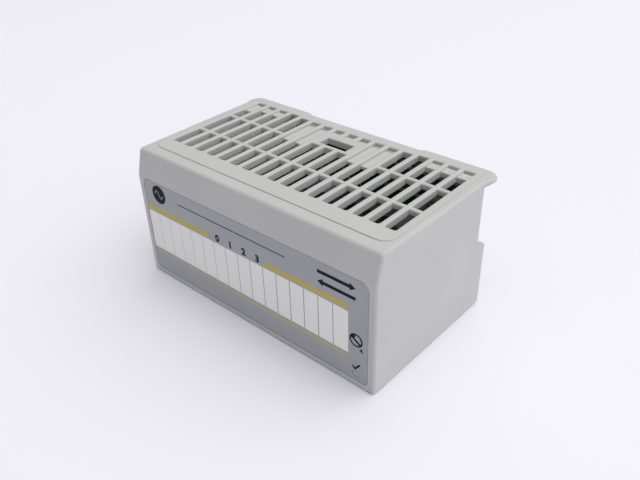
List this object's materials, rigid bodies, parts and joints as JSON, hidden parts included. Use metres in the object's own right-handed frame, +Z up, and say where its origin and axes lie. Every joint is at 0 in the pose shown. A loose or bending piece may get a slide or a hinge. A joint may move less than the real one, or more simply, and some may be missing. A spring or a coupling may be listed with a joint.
{
  "type": "input output module",
  "caption": "Plug-in input/output module of a rail-mounted controller: vented light grey case, front label with write-on fields, stepped rear with a pin connector and keying socket.",
  "frame": {"origin": "middle of the case's overall plan at the level of the lower vent panel that it stands on", "axes": "+X along the width with the status light at the +X end, +Y from the label to the rear connector, +Z up"},
  "size_m": [0.0958, 0.0552, 0.0442],
  "materials": {
    "hood": "fine matte moulding",
    "panels": "fine matte moulding",
    "rear_cover": "fine matte moulding",
    "label_film": "printed satin film",
    "strip_card": "matte white print",
    "light_pipe": "clear moulding",
    "screws": "bright zinc plate",
    "spacers": "nickel plate",
    "circuit_board": "green solder mask",
    "black_resin": "moulded black resin",
    "contacts": "gold flash",
    "ferrite": "sintered ferrite",
    "winding_tape": "yellow polyester tape",
    "capacitor_sleeve": "printed sleeve over an aluminium can",
    "fuse_body": "moulded resin",
    "chip_resin": "moulded resin",
    "can_metal": "drawn metal can",
    "white_resin": "moulded resin",
    "resistor_coat": "dipped coat",
    "film_resin": "dipped coat"
  },
  "bodies": {
    "hood": {"front_hood": "hood", "top_vent_panel": "panels", "bottom_vent_panel": "panels", "label_overlay": "label_film", "write_on_strip": "strip_card", "light_pipe": "light_pipe"},
    "chassis": {"rear_cover": "rear_cover", "rear_board": "circuit_board", "front_board": "circuit_board", "connector_shroud": "black_resin", "connector_contacts": "contacts", "keying_socket": "black_resin", "link_header": "black_resin", "link_socket": "black_resin", "power_inductor": "ferrite", "input_fuse": "fuse_body", "processor_chip": "chip_resin", "crystal_can": "can_metal", "status_led": "light_pipe", "cover_screw_1": "screws", "cover_screw_2": "screws", "cover_screw_3": "screws", "cover_screw_4": "screws", "board_screw_1": "screws", "board_screw_2": "screws", "board_screw_3": "screws", "board_screw_4": "screws", "board_spacer_1": "spacers", "board_spacer_2": "spacers", "board_spacer_3": "spacers", "board_spacer_4": "spacers", "transformer_core_1": "ferrite", "transformer_core_2": "ferrite", "transformer_winding_1": "winding_tape", "transformer_winding_2": "winding_tape", "electrolytic_capacitor_1": "capacitor_sleeve", "electrolytic_capacitor_2": "capacitor_sleeve", "electrolytic_capacitor_3": "capacitor_sleeve", "electrolytic_capacitor_4": "capacitor_sleeve", "rectifier_diode_1": "chip_resin", "rectifier_diode_2": "chip_resin", "rectifier_diode_3": "chip_resin", "rectifier_diode_4": "chip_resin", "converter_chip_1": "chip_resin", "converter_chip_2": "chip_resin", "optocoupler_1": "white_resin", "optocoupler_2": "white_resin", "optocoupler_3": "white_resin", "optocoupler_4": "white_resin", "resistor_network_1": "resistor_coat", "resistor_network_2": "resistor_coat", "film_capacitor_1": "film_resin", "film_capacitor_2": "film_resin"}
  },
  "joints": [
    {"name": "chassis_withdraw", "type": "slide", "parent": "hood", "child": "chassis", "axis": [0, 1, 0], "range_m": [0, 0.05]}
  ]
}
